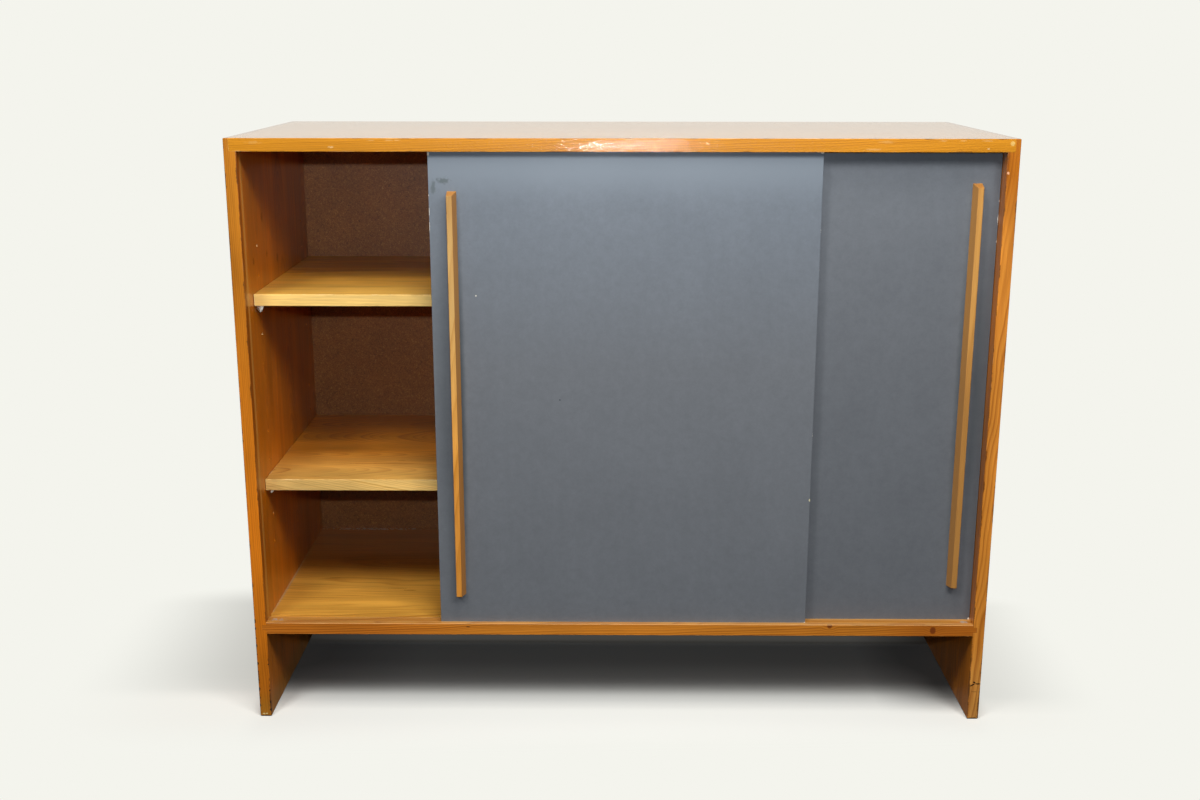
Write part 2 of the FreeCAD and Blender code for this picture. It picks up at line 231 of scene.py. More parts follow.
# fine fibres, broad streaks, cloudy old lacquer and the staves' own tones
def addTones(add, place, grainPlace, wood, toneLuck, colour):
    stave = wood["staveDepth"]
    tone = add("MapRange", {"Value": toneLuck, "To Min": 1 - stave, "To Max": 1 + stave})
    fibres = None
    for (length, width), depth in wood["streaks"]:
        drawn = add("Mapping", {"Vector": grainPlace, "Scale": scaleFor((length, width, width))})
        streak = add("TexNoise", {"Vector": drawn, "Scale": 1.0, "Detail": 3.0, "Roughness": 0.6})
        fibres = fibres or streak
        streakTone = add("MapRange", {"Value": streak, **toneSpan(depth)})
        tone = add("Math", {0: tone, 1: streakTone}, operation="MULTIPLY")
    cloud = add("TexNoise", {"Vector": place, "Scale": 1 / (wood["cloudSize"] * mm), "Detail": 3.0})
    cloudTone = add("MapRange", {"Value": cloud, **toneSpan(wood["cloudDepth"])})
    tone = add("Math", {0: tone, 1: cloudTone}, operation="MULTIPLY")
    return add("HueSaturation", {"Value": tone, "Color": colour}), fibres


# short dark resin ducts, and the wood of the knots
def addResin(add, grainPlace, wood, rings, knotty, colour):
    resinColour = linear(wood["resinHex"])
    drawn = add("Mapping", {"Vector": grainPlace, "Scale": scaleFor(wood["resin"])})
    resin = add("TexNoise", {"Vector": drawn, "Scale": 1.0, "Detail": 2.0})
    ducts = add("MapRange", {"Value": resin, **resinSpan, "To Max": wood["resinDepth"]})
    colour = add("MixRGB", {"Fac": ducts, "Color1": colour, "Color2": resinColour})
    if knotty:
        knot = add("MixRGB", {"Fac": rings, "Color1": linear(wood["knotHex"]), "Color2": resinColour})
        colour = add("MixRGB", {"Fac": knotty, "Color1": colour, "Color2": knot})
    return colour


# sawn ends drink more lacquer and turn darker; a handle's sloping faces get a painted shade
def addEnds(add, facing, wood, grain, colour):
    endwise = add("Math", {0: facing[grain]}, operation="ABSOLUTE")
    sawn = add("MapRange", {"Value": endwise, **facingSpan, "To Max": wood["endDepth"]})
    colour = add("MixRGB", {"Fac": sawn, "Color1": colour, "Color2": linear(wood["endHex"])})
    # painted shade on the faces turned away from the front
    if "sideShadeHex" in wood:
        aside = add("Math", {0: facing["x"]}, operation="ABSOLUTE")
        sideShaded = add("MapRange", {"Value": aside, **slopeSpan, "To Max": wood["sideShade"]})
        colour = add("MixRGB", {"Fac": sideShaded, "Color1": colour, "Color2": linear(wood["sideShadeHex"])})
    return colour


# how far in from an edge the finish is worn: wide in some places, none in others
def edgeWear(add, place, edge, width, places):
    moved = add("VectorMath", {0: place, 1: places["offset"]}, operation="ADD")
    luck = add("TexNoise", {"Vector": moved, "Scale": places["perMetre"], "Detail": 5.0, "Roughness": 0.7})
    kept = add("MapRange", {"Value": luck, **wearLuck})
    return add("Math", {0: edge, 1: 1 / (width * mm), 2: kept}, operation="MULTIPLY_ADD")


# edges rubbed pale in some places and darkened by hands and dust in others
def addEdges(add, place, height, edge, wood, colour):
    rubbedWidth, grimeWidth = wood["wearWidth"]
    pale = edgeWear(add, place, edge, rubbedWidth, rubbedPlaces)
    rubbed = add("MapRange", {"Value": pale, **wornSpan, "To Max": wood["rubbed"]})
    colour = add("MixRGB", {"Fac": rubbed, "Color1": colour, "Color2": linear(wood["rubbedHex"])})
    lowDown = add("MapRange", {"Value": height, **footSpan, "To Max": wood["footGrime"]})
    dark = edgeWear(add, place, edge, grimeWidth, grimePlaces)
    kept = add("Math", {0: dark, 1: lowDown}, operation="SUBTRACT")
    grime = add("MapRange", {"Value": kept, **wornSpan, "To Max": wood["grime"]})
    colour = add("MixRGB", {"Fac": grime, "Color1": colour, "Color2": linear(wood["grimeHex"])})
    return colour, rubbed


# fibres and brush ripples in the lacquer stand up a few hundredths of a millimetre
def lacquerRelief(add, grainPlace, wood, fibres):
    drawn = add("Mapping", {"Vector": grainPlace, "Scale": scaleFor(wood["ripple"])})
    ripple = add("TexNoise", {"Vector": drawn, "Scale": 1.0, "Detail": 1.0})
    relief = add("Math", {0: fibres, 1: wood["fibreHeight"]}, operation="MULTIPLY")
    return add("Math", {0: ripple, 1: wood["rippleHeight"], 2: relief}, operation="MULTIPLY_ADD")


# an edge planed by hand: slightly round across its height, with small shallow marks; crown is its radius
def planedRelief(add, grainPlace, wood, fromMiddle, facingFront, relief):
    square = add("Math", {0: fromMiddle, 1: fromMiddle}, operation="MULTIPLY")
    curve = -0.5 / (wood["crown"] * mm * mm)
    relief = add("Math", {0: square, 1: curve, 2: relief}, operation="MULTIPLY_ADD")
    planed = add("Mapping", {"Vector": grainPlace, "Scale": scaleFor(wood["planeMarks"])})
    chatter = add("TexNoise", {"Vector": planed, "Scale": 1.0, "Detail": 0.0})
    frontal = add("Math", {0: facingFront}, operation="ABSOLUTE")
    depth = add("Math", {0: frontal, 1: wood["planeDepth"]}, operation="MULTIPLY")
    return add("Math", {0: chatter, 1: depth, 2: relief}, operation="MULTIPLY_ADD")


def finishBoard(name, node, wood, grain, seed, zones=(), knots=(), marks=()):
    material, add, place = startMaterial(name)
    low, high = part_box(node)
    turn = grainTurn[grain].to_matrix()
    shift = Vector((seed, 0, 0)) - turn @ ((low + high) / 2)
    grainPlace = add("Mapping", {"Vector": place, "Rotation": tuple(grainTurn[grain]), "Location": shift})
    axes = dict(zip("xyz", add("SeparateXYZ", {0: place}).node.outputs))
    normal = add("NewGeometry").node.outputs["Normal"]
    facing = dict(zip("xyz", add("SeparateXYZ", {0: normal}).node.outputs))

    radius, toneLuck = pithDistance(add, grainPlace, wood, seed)
    knotPlaces = [(turn @ Vector(knot["at"]) + shift, knot["size"] * mm) for knot in knots]
    radius, knotty = addKnots(add, grainPlace, radius, knotPlaces)
    rings = annualRings(add, radius, wood, seed)
    early, late = linear(wood["earlywood"]), linear(wood["latewood"])
    colour = add("MixRGB", {"Fac": rings, "Color1": early, "Color2": late})
    colour = addZones(add, axes, rings, colour, zones)
    colour, fibres = addTones(add, place, grainPlace, wood, toneLuck, colour)
    colour = addResin(add, grainPlace, wood, rings, knotty, colour)
    colour = addEnds(add, facing, wood, grain, colour)
    edge = edgeDistance(add, place, low, high)
    colour, rubbed = addEdges(add, place, axes["z"], edge, wood, colour)
    colour, covered = addMarks(add, place, colour, marks)

    # worn places are dull
    worn = rubbed if covered is None else add("Math", {0: rubbed, 1: covered}, operation="MAXIMUM")
    smooth, rough = wood["roughness"]
    gloss = add("MapRange", {"Value": fibres, **noiseSpan, "To Min": smooth, "To Max": rough})
    roughness = add("Math", {0: worn, 1: wood["wornDull"], 2: gloss}, operation="MULTIPLY_ADD")
    if "topRoughness" in wood:
        upward = add("MapRange", {"Value": facing["z"], **facingSpan})
        roughness = add("MapRange", {"Value": upward, "To Min": roughness, "To Max": wood["topRoughness"]})
    relief = lacquerRelief(add, grainPlace, wood, fibres)
    if "crown" in wood:
        fromMiddle = add("Math", {0: axes["z"], 1: (low.z + high.z) / 2}, operation="SUBTRACT")
        relief = planedRelief(add, grainPlace, wood, fromMiddle, facing["y"], relief)
    bump = add("Bump", {"Height": relief, "Strength": 1.0, "Distance": mm})
    shader = add("BsdfPrincipled", {"Base Color": colour, "Roughness": roughness, "IOR": wood["ior"],
                                    "Normal": bump, "Coat Weight": wood["coat"],
                                    "Coat Roughness": wood["coatRoughness"], "Coat Normal": bump})
    add("OutputMaterial", {"Surface": shader})
    paint(material, node)


# planed pine staves under an old lacquer that has turned orange: fine long streaks, soft clear reflections
lacqueredPine = {
    "earlywood": "D08715", "latewood": "AC650A", "ringWidth": 3.2, "staveWidth": 93.0, "staveDepth": 0.05,
    "ringProfile": ((0.0, 0.6), (0.06, 0.05), (0.45, 0.12), (0.8, 0.6), (0.93, 1.0), (1.0, 0.6)),
    "pithSide": 60.0, "pithDepth": (30.0, 90.0), "wander": (520.0, 120.0, 120.0), "swing": 16.0,
    "lean": 0.08, "streaks": (((70.0, 1.1), 0.08), ((420.0, 5.0), 0.06)),
    "cloudSize": 200.0, "cloudDepth": 0.05,
    "resin": (38.0, 1.3, 1.3), "resinDepth": 0.4, "resinHex": "74390F", "knotHex": "8E4A18",
    "endDepth": 0.55, "endHex": "9A5A16", "wearWidth": (1.3, 1.6), "rubbed": 0.35, "rubbedHex": "E3B77A",
    "grime": 0.5, "footGrime": 0.0, "grimeHex": "4B260C", "roughness": (0.34, 0.44), "wornDull": 0.2,
    "fibreHeight": 0.03, "ripple": (9.0, 3.0, 3.0), "rippleHeight": 0.02,
    "ior": 1.5, "coat": 1.0, "coatRoughness": 0.18,
}
# the same pine where the doors kept light and hands off it: paler and yellower, brightest on the shelves'
# front edges
keptPine = dict(lacqueredPine, earlywood="E5B351", latewood="C48734", rubbedHex="F3DDAE", grime=0.3,
                staveDepth=0.06, cloudDepth=0.14, streaks=(((60.0, 1.6), 0.13), ((220.0, 40.0), 0.2)),
                coat=0.3, roughness=(0.4, 0.5))
# handle wood, planed and oiled by hands: even and fine, with a low sheen
oiledWood = dict(lacqueredPine, earlywood="C89F5E", latewood="B88848", staveWidth=400.0, ringWidth=2.0,
                 pithSide=20.0, pithDepth=(20.0, 30.0), swing=5.0, lean=0.03, coat=0.1, roughness=(0.4, 0.5),
                 rubbed=0.3, grime=0.3, sideShade=0.75, sideShadeHex="9E6A34")

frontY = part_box("top_panel")[0].y        # front edges of the boards
topZ = 0.954                             # upper face of the top
chipZ = 0.9508                           # just under its front edge
floorZ = 0.1685                          # upper face of the bottom board
wallX = 0.581                            # inner faces of the sides, to the left and right of the middle
outerX = 0.6                             # their outer faces
endless = 2000.0                         # length of a mark that runs along a whole board

topBoard = dict(lacqueredPine, earlywood="D08A1F", latewood="AC6812", crown=200.0,
                planeMarks=(3.6, 1.7, 1.7), planeDepth=0.26, rippleHeight=0.16, coatRoughness=0.07)
topKnots = [{"at": (-0.24, 0.09, topZ), "size": 7.0}, {"at": (0.36, -0.05, topZ), "size": 5.0}]
topMarks = [
    {"at": (-0.553, frontY, 0.947), "size": (16.0, 4.0, 3.0), "hex": "E2B976", "strength": 0.25,
     "soft": 0.9, "ragged": 2.4},
    {"at": (-0.437, frontY, 0.9405), "size": (4.0, 3.0, 1.8), "hex": "EFD9A6", "strength": 0.4,
     "ragged": 2.6},
    {"at": (0.3792, frontY, 0.9380), "size": (12.0, 2.0, 1.6), "hex": "EBC58A", "strength": 0.25,
     "ragged": 2.0},
    {"at": (0.3988, frontY, 0.9490), "size": (16.0, 3.0, 3.0), "hex": "E2B673", "strength": 0.3,
     "soft": 0.9, "ragged": 1.0},
    {"at": (0.5514, frontY, 0.9390), "size": (2.4, 2.0, 1.4), "hex": "F1D9A4", "strength": 0.4},
    {"at": (0.5872, frontY, 0.9468), "size": (4.2, 3.0, 4.6), "hex": "DDB76A", "strength": 0.8,
     "soft": 0.6, "ragged": 0.9},
]
# small chips along the front edge, x to length
chipPlaces = {-0.3765: 6.0, -0.3490: 7.0, -0.3373: 5.0, 0.4826: 6.0, 0.5128: 5.0, 0.5497: 9.0}
for x, length in chipPlaces.items():
    topMarks.append({"at": (x, frontY, chipZ), "size": (length, 1.2, 1.1), "hex": "EAC68C",
                     "strength": 0.28, "ragged": 2.4})
topMarks.append({"at": (-0.596, frontY, 0.944), "size": (6.0, 3.0, 12.0), "hex": "9A5E20",
                 "strength": 0.4, "soft": 0.9, "ragged": 2.4})
finishBoard("lacquered_pine_top", "top_panel", topBoard, "x", 1.3, (), topKnots, topMarks)

# the doors shaded the bottom board behind their grooves
bottomBoard = dict(lacqueredPine, earlywood="D08128", latewood="8C460E", coat=0.4, knotHex="7E3C14",
                   ringWidth=4.2, swing=22.0, wander=(300.0, 60.0, 60.0),
                   streaks=(((70.0, 1.1), 0.08), ((260.0, 30.0), 0.14)))
bottomZones = [
    {"axis": "x", "from": -0.22, "to": -0.40, "earlywood": "D17A24", "latewood": "91480D"},
    {"axis": "x", "from": 0.40, "to": 0.50, "earlywood": "B7691E", "latewood": "90470E"},
    {"axis": "y", "from": frontY + 0.001, "to": frontY + 0.002, "earlywood": "C68A3E", "latewood": "A8682A"},
    {"axis": "y", "from": frontY + 0.028, "to": frontY + 0.031, "earlywood": "DFA342", "latewood": "B07224"},
    # the back of the bay floor is painted darker, a painted shade
    {"axis": "y", "from": frontY + 0.18, "to": frontY + 0.27, "earlywood": "B16F25", "latewood": "9F5E1B"},
]
bottomKnots = [{"at": (0.5151, frontY, 0.1590), "size": 3.3}, {"at": (0.3456, frontY, 0.1675), "size": 3.0}]
scratch = {"hex": "8A4E16", "strength": 0.4, "ragged": 1.2}
bottomMarks = [
    {"at": (-0.2484, frontY, 0.1626), "size": (4.5, 2.0, 0.9), "hex": "3A1C0A", "strength": 0.9},
    {**scratch, "at": (-0.3628, -0.0890, floorZ), "size": (16.0, 2.2, 3.0), "strength": 0.6},
    {**scratch, "at": (-0.3850, -0.0800, floorZ), "size": (22.0, 1.8, 3.0)},
    {**scratch, "at": (-0.5048, -0.0316, floorZ), "size": (12.0, 2.0, 3.0)},
    {"at": (-0.4800, 0.2250, 0.1662), "size": (120.0, 8.0, 3.0), "hex": "CDC8BC", "strength": 0.8,
     "ragged": 2.4},
    {"at": (-0.5795, -0.0600, floorZ), "size": (2.6, 150.0, 3.0), "hex": "B49C7E", "strength": 0.5,
     "ragged": 1.6},
]
# front edge to each door groove, and on to its middle; the groove floors get painted shade, the lips are
# rubbed pale
grooves = {"starts": (0.0085, 0.0245), "toMiddle": 0.0045}
for start in grooves["starts"]:
    grooveY = frontY + start + grooves["toMiddle"]
    bottomMarks.append({"at": (0.0, grooveY, 0.1640), "size": (endless, 5.0, 3.2), "hex": "7E4618",
                        "strength": 0.7, "ragged": 0.1})
    bottomMarks.append({"at": (0.0, frontY + start, floorZ), "size": (endless, 0.9, 0.8), "hex": "E6BE84",
                        "strength": 0.6, "ragged": 1.2})
bottomMarks.append({"at": (0.0, frontY + 0.0004, 0.1681), "size": (endless, 1.0, 1.0), "hex": "E0AE70",
                    "strength": 0.5, "ragged": 1.5})
# dust gathers at the ends of the front groove, x to length
dustPlaces = {-0.560: 34.0, 0.572: 14.0}
for x, length in dustPlaces.items():
    bottomMarks.append({"at": (x, frontY + 0.013, 0.1665), "size": (length, 5.0, 5.0), "hex": "B5ABA0",
                        "strength": 0.75, "ragged": 1.8})
finishBoard("lacquered_pine_bottom", "bottom_panel", bottomBoard, "x", 2.9, bottomZones, bottomKnots,
            bottomMarks)

# the left board is redder and even, the right one shows its rings; both are brighter low down, as painted
# light, and deep red inside, as painted shade
leftBoard = dict(lacqueredPine, earlywood="BD771D", latewood="9D590F", lean=0.2, rubbed=0.25, grime=0.8,
                 footGrime=0.5, wearWidth=(1.0, 2.6), coat=0.35, topRoughness=0.08, cloudDepth=0.08,
                 streaks=(((70.0, 1.1), 0.12), ((350.0, 45.0), 0.22)))
leftZones = [
    {"axis": "z", "from": 0.85, "to": 0.35, "earlywood": "DC7D1A", "latewood": "B75F0E"},
    {"axis": "x", "from": -0.5818, "to": -0.5812, "earlywood": "C06C10", "latewood": "A15107"},
    {"axis": "z", "from": 0.20, "to": 0.08, "earlywood": "D77B1A", "latewood": "B45E0E"},
    {"axis": "z", "from": 0.05, "to": 0.02, "earlywood": "C47C1A", "latewood": "A05E10"},
]
leftKnots = [{"at": (-outerX, 0.04, 0.62), "size": 8.0}, {"at": (-outerX, -0.12, 0.28), "size": 5.0}]
# a door groove on the inner wall: a dark line of painted shadow in it and a pale line of painted highlight
# on its far wall
grooveShading = {"strength": 0.6, "ragged": 0.1, "above": floorZ}
paleKick = {"hex": "EAD48F", "strength": 0.8}
darkKick = {"hex": "2E170A", "ragged": 1.0}
# a painted contact shadow along the bottom of each foot
footContactShadow = {"size": (15.0, 9.0, 3.2), "hex": "2A1608", "strength": 0.85, "ragged": 1.0}
leftMarks = [
    {**grooveShading, "at": (-wallX, frontY + 0.020, 0.55), "size": (4.0, 5.0, 3000.0), "hex": "D09A4C"},
    {**grooveShading, "at": (-wallX, frontY + 0.006, 0.55), "size": (4.0, 7.0, 3000.0), "hex": "7A3E10"},
    {**paleKick, "at": (-0.5939, frontY, 0.0046), "size": (2.4, 3.0, 1.8)},
    {**paleKick, "at": (-0.5890, frontY, 0.0050), "size": (1.8, 3.0, 1.4)},
    {"at": (-0.5995, frontY, 0.1710), "size": (2.2, 3.0, 5.0), "hex": "2E170A"},
    {**footContactShadow, "at": (-0.5905, frontY, 0.0)},
]
# kicks along the foot's outer and inner edge, height to size
outerKicks = {0.158: 2.0, 0.141: 1.5, 0.128: 2.8, 0.112: 1.4, 0.096: 2.4,
              0.081: 1.5, 0.066: 1.9, 0.050: 2.6, 0.034: 1.8, 0.020: 2.2}
innerKicks = {0.094: 1.2, 0.047: 1.6, 0.026: 1.8, 0.012: 2.0}
for x, kicks in ((-0.5995, outerKicks), (-0.5818, innerKicks)):
    for z, size in kicks.items():
        leftMarks.append({**darkKick, "at": (x, frontY, z), "size": (size, 3.0, size * 1.3)})
litHoleRims = (0.7785, 0.6346, 0.3291)    # front row; the lit far edge in each hole is a pale dash, a painted highlight
for z in litHoleRims:
    leftMarks.append({"at": (-wallX, frontY + 0.0925, z), "size": (2.0, 1.0, 2.6), "hex": "E2BC82",
                      "ragged": 0.2})
# small stains on the inner wall above the upper shelf, depth and height to size
stains = {(-0.0999, 0.8195): 9.0, (-0.0103, 0.7392): 10.0, (-0.1665, 0.7572): 7.0, (-0.0799, 0.7566): 7.0}
for (y, z), size in stains.items():
    leftMarks.append({"at": (-wallX, y, z), "size": (3.0, size, size * 1.2), "hex": "4A240A",
                      "strength": 0.5, "soft": 0.9, "ragged": 1.2})
finishBoard("lacquered_pine_left", "left_side_panel", leftBoard, "z", 4.1, leftZones, leftKnots, leftMarks)

rightBoard = dict(leftBoard, earlywood="CF8430", latewood="965013", ringWidth=6.0, lean=0.09,
                  pithDepth=(12.0, 30.0), wander=(230.0, 60.0, 60.0), swing=26.0,
                  ringProfile=((0.0, 0.5), (0.15, 0.05), (0.5, 0.2), (0.75, 0.6), (0.9, 1.0), (1.0, 0.5)))
rightZones = [
    {"axis": "z", "from": 0.80, "to": 0.90, "earlywood": "BE6F18", "latewood": "8A450A"},
    {"axis": "z", "from": 0.14, "to": 0.06, "earlywood": "D59343", "latewood": "9D591E"},
    {"axis": "x", "from": 0.5818, "to": 0.5812, "earlywood": "BD6F12", "latewood": "9D530A"},
]
rightKnots = [{"at": (outerX, 0.10, 0.71), "size": 7.0}, {"at": (outerX, -0.05, 0.40), "size": 6.0}]
crack = {"hex": "1C0C06", "ragged": 0.3}
rightMarks = [
    {"at": (0.5835, frontY, 0.9030), "size": (2.4, 3.0, 2.4), "hex": "F0B58A", "ragged": 0.3,
     "strength": 0.8},
    {**crack, "at": (0.5893, frontY, 0.0664), "size": (1.5, 3.0, 3.2), "lean": 62.0},
    {**crack, "at": (0.5868, frontY, 0.0618), "size": (1.5, 3.0, 5.0), "lean": -59.0},
    {**crack, "at": (0.5955, frontY, 0.0638), "size": (5.0, 3.0, 1.5)},
    {"at": (0.5896, frontY, 0.0496), "size": (6.0, 3.0, 1.0), "hex": "6A3A16", "strength": 0.5},
    {**footContactShadow, "at": (0.5905, frontY, 0.0)},
]
finishBoard("lacquered_pine_right", "right_side_panel", rightBoard, "z", 6.7, rightZones, rightKnots,
            rightMarks)

finishBoard("kept_pine_partition", "centre_partition", keptPine, "z", 8.3)
shelfSeeds = {"upper_left_shelf": 10.7, "lower_left_shelf": 13.8, "upper_right_shelf": 16.9,
              "lower_right_shelf": 20.0}
shelfMarks = {"lower_left_shelf": [
    {"at": (-0.3722, -0.0746, 0.400), "size": (9.0, 2.2, 2.0), "hex": "8A5220", "strength": 0.6,
     "ragged": 1.0},
    {"at": (-0.4000, -0.0915, 0.400), "size": (75.0, 2.0, 2.0), "hex": "9C4E14", "strength": 0.7,
     "ragged": 1.0},
]}
# the shelves are painted darker towards the back, a painted shade
shelfBackShade = {"axis": "y", "from": frontY + 0.08, "to": frontY + 0.22}
shelfLooks = {
    "upper": {"wood": keptPine, "edge": {"earlywood": "F1C875", "latewood": "E5B869"},
              "paintedShade": {**shelfBackShade, "earlywood": "DEA138", "latewood": "B6731E"}},
    "lower": {"wood": dict(keptPine, earlywood="D4A250", latewood="B57A32", lean=0.25),
              "edge": {"earlywood": "EBC072", "latewood": "C4903E"},
              "paintedShade": {**shelfBackShade, "earlywood": "D28625", "latewood": "AC5F12"}},
}
for shelf, seed in shelfSeeds.items():
    look = shelfLooks[shelf.split("_")[0]]
    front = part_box(shelf)[0].y
    paleEdge = {**look["edge"], "axis": "y", "from": front + 0.0012, "to": front + 0.0004}
    finishBoard("kept_pine_" + shelf, shelf, look["wood"], "x", seed, [look["paintedShade"], paleEdge], (),
                shelfMarks.get(shelf, ()))

# painted light and shade: the front handle is more orange towards its foot and browner at its top, the rear
# one darker
frontHandleZones = [
    {"axis": "z", "from": 0.70, "to": 0.46, "earlywood": "E7A045", "latewood": "CC852C"},
    {"axis": "z", "from": 0.48, "to": 0.36, "earlywood": "D78E38", "latewood": "BD7623"},
    {"axis": "z", "from": 0.77, "to": 0.84, "earlywood": "B68B4E", "latewood": "A4763A"},
]
rearHandle = dict(oiledWood, earlywood="C28D48", latewood="AC7636", sideShadeHex="A8763E")
rearHandleZones = [{"axis": "z", "from": 0.66, "to": 0.55, "earlywood": "B07D3F", "latewood": "9A6830"}]
finishBoard("oiled_wood_front", "front_door_handle", oiledWood, "z", 25.3, frontHandleZones)
finishBoard("oiled_wood_rear", "rear_door_handle", rearHandle, "z", 27.6, rearHandleZones)
print("wood finished")

# hard grey paint rolled on pressed board: even colour with a faint cloud, rubbed marks, and chips down to
# pale filler
rolledPaint = {
    "hex": "6E757D", "shadedLowHex": "6C6F73", "fade": {"From Min": 0.9, "From Max": 0.6},
    "cloudSize": 90.0, "cloudDepth": 0.06, "streakSize": (14.0, 14.0, 220.0), "streakDepth": 0.015,
    "mottleSize": 14.0, "mottleDepth": 0.07, "handleShadowHex": "3E4447", "handleShadow": (0.42, 0.75),
    "handleShadowPlaces": ((-14.0, 20.0), (1.0, 9.0)), "handleShadowReach": (200.0, 420.0), "fillerHex": "E4DDCB",
    "speckSpacing": 55.0, "specks": {"From Min": 0.88, "From Max": 1.0, "To Max": 0.022},
    "chipWidth": 1.2, "chipsPerMetre": 60.0,
    "chips": {"From Min": 0.52, "From Max": 0.8, "To Min": 1.3, "To Max": -0.2},
    "roughness": (0.36, 0.46), "chipDull": 0.3, "ior": 1.48,
    "peelSize": 1.6, "peelHeight": 0.2, "peel": 0.06,
}


# a painted shadow of the handle lies on each side of it, the wide one towards the outer edge of the door;
# each place is how far from the handle's side, and how wide
def handleShadowMarks(node, handle, look):
    low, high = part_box(handle)
    doorLow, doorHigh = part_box(node)
    inwards = 1 if low.x + high.x < doorLow.x + doorHigh.x else -1
    sides = (low.x, high.x) if inwards > 0 else (high.x, low.x)
    shadowMarks = []
    for side, (aside, width), strength in zip(sides, look["handleShadowPlaces"], look["handleShadow"]):
        middle = (side + inwards * aside * mm, low.y, (low.z + high.z) / 2)
        shadowMarks.append({"at": middle, "size": (width, *look["handleShadowReach"]), "hex": look["handleShadowHex"],
                       "strength": strength, "soft": 1.0, "ragged": 0.3})
    return shadowMarks


def paintDoor(name, node, handle, look, marks):
    material, add, place = startMaterial(name)
    filled = linear(look["fillerHex"])
    # the door is painted a little darker and greyer low down, a painted shade
    height = add("SeparateXYZ", {0: place}).node.outputs["Z"]
    shadedLow = add("MapRange", {"Value": height, **look["fade"]})
    colour = add("MixRGB", {"Fac": shadedLow, "Color1": linear(look["hex"]), "Color2": linear(look["shadedLowHex"])})

    # clouds, wiped streaks and mottle change the tone a little
    cloud = add("TexNoise", {"Vector": place, "Scale": 1 / (look["cloudSize"] * mm), "Detail": 5.0})
    cloudTone = add("MapRange", {"Value": cloud, "From Min": 0.35, "From Max": 0.7, "To Min": 1.0,
                                 "To Max": 1 - look["cloudDepth"]})
    wiped = add("Mapping", {"Vector": place, "Scale": scaleFor(look["streakSize"])})
    streak = add("TexNoise", {"Vector": wiped, "Scale": 1.0, "Detail": 3.0})
    streakTone = add("MapRange", {"Value": streak, **toneSpan(look["streakDepth"])})
    mottle = add("TexNoise", {"Vector": place, "Scale": 1 / (look["mottleSize"] * mm), "Detail": 3.0,
                              "Roughness": 0.9})
    mottleTone = add("MapRange", {"Value": mottle, **toneSpan(look["mottleDepth"])})
    for tone in (cloudTone, streakTone, mottleTone):
        colour = add("HueSaturation", {"Value": tone, "Color": colour})
    # dark bands beside the handle: painted shadows of it
    colour = addMarks(add, place, colour, handleShadowMarks(node, handle, look))[0]

    # small knocks show the pale filler
    cells = add("TexVoronoi", {"Vector": place, "Scale": 1 / (look["speckSpacing"] * mm),
                               "Randomness": 1.0}, feature="F1")
    luck = add("SeparateColor", {0: cells.node.outputs["Color"]})
    speckSize = add("MapRange", {"Value": luck, **look["specks"]})
    speckMask = add("Math", {0: cells, 1: speckSize}, operation="LESS_THAN")
    colour = add("MixRGB", {"Fac": speckMask, "Color1": colour, "Color2": filled})

    # chipped edges
    edge = edgeDistance(add, place, *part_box(node))
    inside = add("Math", {0: edge, 1: 1 / (look["chipWidth"] * mm)}, operation="MULTIPLY")
    knocks = add("TexNoise", {"Vector": place, "Scale": look["chipsPerMetre"], "Detail": 6.0,
                              "Roughness": 0.75})
    kept = add("MapRange", {"Value": knocks, **look["chips"]})
    bare = add("Math", {0: inside, 1: kept}, operation="ADD")
    bareMask = add("MapRange", {"Value": bare, "From Min": 1.0, "From Max": 0.8})
    colour = add("MixRGB", {"Fac": bareMask, "Color1": colour, "Color2": filled})
    colour = addMarks(add, place, colour, marks)[0]

    # chips are dull, and the roller left a fine orange peel
    smooth, rough = look["roughness"]
    gloss = add("MapRange", {"Value": cloud, **noiseSpan, "To Min": smooth, "To Max": rough})
    roughness = add("Math", {0: bareMask, 1: look["chipDull"], 2: gloss}, operation="MULTIPLY_ADD")
    peel = add("TexNoise", {"Vector": place, "Scale": 1 / (look["peelSize"] * mm), "Detail": 2.0})
    bump = add("Bump", {"Height": peel, "Strength": look["peel"], "Distance": look["peelHeight"] * mm})
    shader = add("BsdfPrincipled", {"Base Color": colour, "Roughness": roughness, "IOR": look["ior"],
                                    "Normal": bump})
    add("OutputMaterial", {"Surface": shader})
    paint(material, node)


